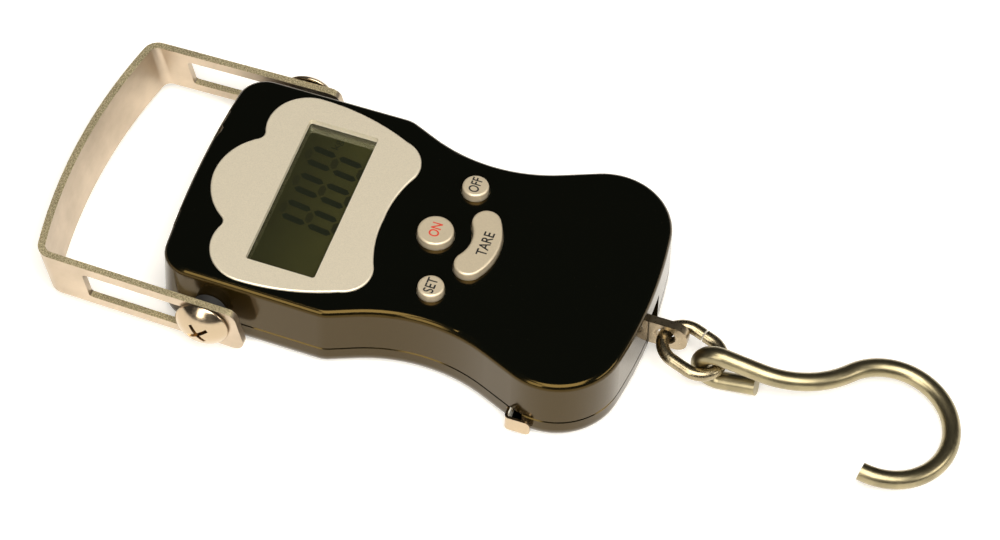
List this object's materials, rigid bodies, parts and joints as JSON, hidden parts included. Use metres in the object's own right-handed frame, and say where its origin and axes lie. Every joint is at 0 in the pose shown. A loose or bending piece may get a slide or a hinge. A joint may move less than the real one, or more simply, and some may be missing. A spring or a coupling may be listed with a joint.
{
  "type": "digital fish scale",
  "caption": "Pocket digital hanging scale: black waisted case with a display and keys, a sliding steel U handle, a pull-out tape and a steel hook on a link.",
  "frame": {"origin": "on the flat back face that the scale lies on, at the middle of the case", "axes": "+X to the right of the display, +Y along the scale towards the handle (the hook is at -Y), +Z out of the display face"},
  "size_m": [0.0722, 0.2001, 0.0203],
  "materials": {
    "case_black": "glossy black moulded plastic",
    "silver_paint": "satin silver paint with a fine fleck",
    "silver_key": "satin silver paint",
    "clear_window": "clear moulded window",
    "lcd_glass": "dark olive liquid crystal display, unlit",
    "black_rubber": "black rubber",
    "board_green": "green solder mask",
    "chip_black": "black epoxy",
    "handle_steel": "brushed stainless strip",
    "hook_steel": "polished stainless wire, lightly worn",
    "screw_nickel": "nickel plated",
    "dark_screw": "zinc plated, darkened",
    "white_nylon": "natural nylon",
    "bar_steel": "plain bright steel",
    "cell_aluminium": "machined aluminium",
    "gauge_film": "amber foil gauge",
    "lead_red": "insulated wire",
    "reel_grey": "grey moulded plastic",
    "tape_white": "white enamelled steel tape",
    "cell_jacket": "plain battery jacket"
  },
  "bodies": {
    "case": {"battery_cell_left": "cell_jacket", "battery_cell_right": "cell_jacket", "battery_contacts": "screw_nickel", "battery_springs": "screw_nickel", "board_chip": "chip_black", "board_parts": "chip_black", "board_screws": "dark_screw", "case_screws": "dark_screw", "cell_screws": "dark_screw", "display_bezel": "silver_paint", "front_shell": "case_black", "gauge_leads": "lead_red", "handle_screw_left": "screw_nickel", "handle_screw_right": "screw_nickel", "handle_spacer_left": "black_rubber", "handle_spacer_right": "black_rubber", "hanger_bar": "bar_steel", "hook_strap": "hook_steel", "lcd_connector": "black_rubber", "lcd_panel": "lcd_glass", "lcd_window": "clear_window", "load_cell": "cell_aluminium", "main_board": "board_green", "off_switch": "bar_steel", "on_switch": "bar_steel", "rear_shell": "case_black", "reel_clip": "bar_steel", "set_switch": "bar_steel", "strain_gauges": "gauge_film", "strap_pin": "bar_steel", "tape_axle": "bar_steel", "tape_spring": "bar_steel", "tare_switch": "bar_steel"},
    "battery_door": {"battery_door": "case_black"},
    "slot_sleeves": {"slot_sleeves": "white_nylon"},
    "handle": {"handle": "handle_steel"},
    "on_key": {"on_key": "silver_key", "on_plunger": "black_rubber"},
    "off_key": {"off_key": "silver_key", "off_plunger": "black_rubber"},
    "set_key": {"set_key": "silver_key", "set_plunger": "black_rubber"},
    "tare_key": {"tare_key": "silver_key", "tare_plunger": "black_rubber"},
    "link": {"link": "hook_steel"},
    "hook": {"hook": "hook_steel"},
    "tape_end": {"tape_tab": "screw_nickel", "tape_blade": "tape_white", "tape_rivet": "screw_nickel"},
    "tape_reel": {"tape_reel": "reel_grey", "tape_coil": "tape_white"}
  },
  "joints": [
    {"name": "handle_pivot", "type": "hinge", "parent": "case", "child": "slot_sleeves", "pos_m": [0, 0.03765, 0.0094], "axis": [1, 0, 0], "range_deg": [0, 155]},
    {"name": "handle_slide", "type": "slide", "parent": "slot_sleeves", "child": "handle", "axis": [0, 1, 0], "range_m": [-0.02, 0]},
    {"name": "battery_door_slide", "type": "slide", "parent": "case", "child": "battery_door", "axis": [0, 1, 0], "range_m": [0, 0.072]},
    {"name": "link_swing", "type": "hinge", "parent": "case", "child": "link", "pos_m": [0, -0.0552, 0.008], "axis": [1, 0, 0], "range_deg": [-85, 85]},
    {"name": "hook_swing", "type": "hinge", "parent": "link", "child": "hook", "pos_m": [0, -0.0681, 0.00618], "axis": [1, 0, 0], "range_deg": [-60, 60]},
    {"name": "tape_pull", "type": "slide", "parent": "case", "child": "tape_end", "axis": [-1, 0, 0], "range_m": [0, 0.98], "stiffness_N_per_m": 1, "springref_m": -0.3, "deforming": ["tape_blade"]},
    {"name": "tape_reel_spin", "type": "hinge", "parent": "case", "child": "tape_reel", "pos_m": [-0.0145, -0.0376, 0.005], "axis": [0, 0, 1], "range_deg": [0, 7850]},
    {"name": "on_key_press", "type": "slide", "parent": "case", "child": "on_key", "axis": [0, 0, -1], "range_m": [0, 0.0005], "stiffness_N_per_m": 2500},
    {"name": "off_key_press", "type": "slide", "parent": "case", "child": "off_key", "axis": [0, 0, -1], "range_m": [0, 0.0005], "stiffness_N_per_m": 2500},
    {"name": "set_key_press", "type": "slide", "parent": "case", "child": "set_key", "axis": [0, 0, -1], "range_m": [0, 0.0005], "stiffness_N_per_m": 2500},
    {"name": "tare_key_press", "type": "slide", "parent": "case", "child": "tare_key", "axis": [0, 0, -1], "range_m": [0, 0.0005], "stiffness_N_per_m": 2500}
  ],
  "couplings": [
    {"joint": "tape_reel_spin", "follows": "tape_pull", "rad_per_m": 138.89}
  ]
}
